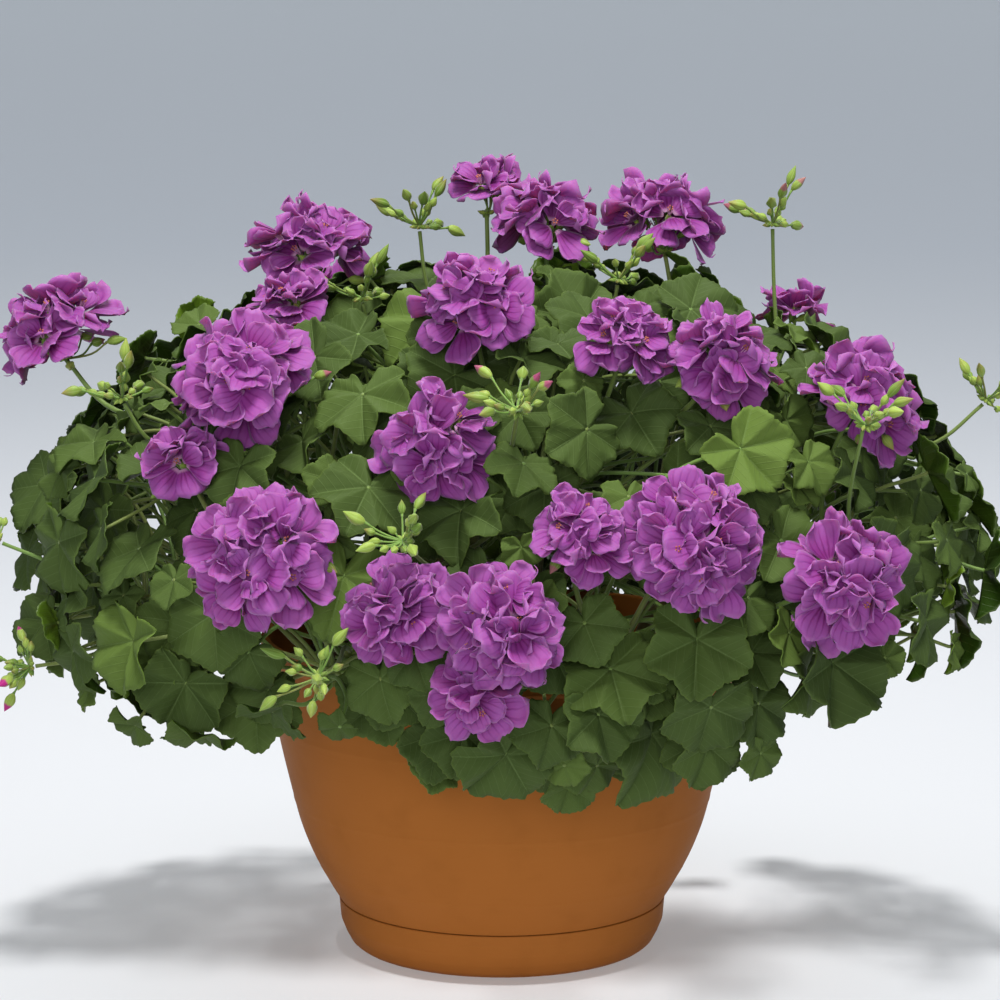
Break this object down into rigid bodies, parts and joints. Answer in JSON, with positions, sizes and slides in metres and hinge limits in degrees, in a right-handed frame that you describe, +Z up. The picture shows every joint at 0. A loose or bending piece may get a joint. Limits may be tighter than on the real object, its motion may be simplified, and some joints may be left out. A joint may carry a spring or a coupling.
{
  "type": "potted flowering plant",
  "caption": "Flowering ivy geranium with lobed leaves, domed flower heads and bud clusters, growing in a round flared bowl pot on its fitted saucer.",
  "frame": {"origin": "centre of the saucer's flat underside, on the floor and on the pot's axis", "axes": "+Z up along the pot's axis, front of the plant faces -Y, +X to the right seen from the front"},
  "size_m": [0.6816, 0.6611, 0.51],
  "materials": {
    "terracotta_plastic": "terracotta-brown moulded plastic, satin, faint mould rings",
    "potting_soil": "dark crumbly potting mix with light grains",
    "leaf_green": "living leaf and stem, mid to dark green, darker zone and paler veins, slight gloss",
    "petal_purple": "living petal, magenta purple with paler edge and darker base",
    "bud_green": "living bud and pedicel, light green, some tips reddish"
  },
  "bodies": {
    "root": {"saucer": "terracotta_plastic", "pot": "terracotta_plastic", "potting_soil": "potting_soil", "shoot_01": "leaf_green", "shoot_02": "leaf_green", "shoot_03": "leaf_green", "shoot_04": "leaf_green", "shoot_05": "leaf_green", "shoot_06": "leaf_green", "shoot_07": "leaf_green", "shoot_08": "leaf_green", "shoot_09": "leaf_green", "shoot_10": "leaf_green", "shoot_11": "leaf_green", "shoot_12": "leaf_green", "shoot_13": "leaf_green", "shoot_14": "leaf_green", "shoot_15": "leaf_green", "shoot_16": "leaf_green", "shoot_17": "leaf_green", "flower_head_01": "petal_purple", "flower_head_02": "petal_purple", "flower_head_03": "petal_purple", "flower_head_04": "petal_purple", "flower_head_05": "petal_purple", "flower_head_06": "petal_purple", "flower_head_07": "petal_purple", "flower_head_08": "petal_purple", "flower_head_09": "petal_purple", "flower_head_10": "petal_purple", "flower_head_11": "petal_purple", "flower_head_12": "petal_purple", "flower_head_13": "petal_purple", "flower_head_14": "petal_purple", "flower_head_15": "petal_purple", "flower_head_16": "petal_purple", "flower_head_17": "petal_purple", "flower_head_18": "petal_purple", "flower_head_19": "petal_purple", "flower_head_20": "petal_purple", "flower_head_21": "petal_purple", "flower_head_22": "petal_purple", "flower_head_23": "petal_purple", "flower_head_24": "petal_purple", "flower_head_25": "petal_purple", "flower_head_26": "petal_purple", "bud_cluster_01": "bud_green", "bud_cluster_02": "bud_green", "bud_cluster_03": "bud_green", "bud_cluster_04": "bud_green", "bud_cluster_05": "bud_green", "bud_cluster_06": "bud_green", "bud_cluster_07": "bud_green", "bud_cluster_08": "bud_green", "bud_cluster_09": "bud_green", "bud_cluster_10": "bud_green", "bud_cluster_11": "bud_green", "bud_cluster_12": "bud_green"}
  },
  "joints": []
}
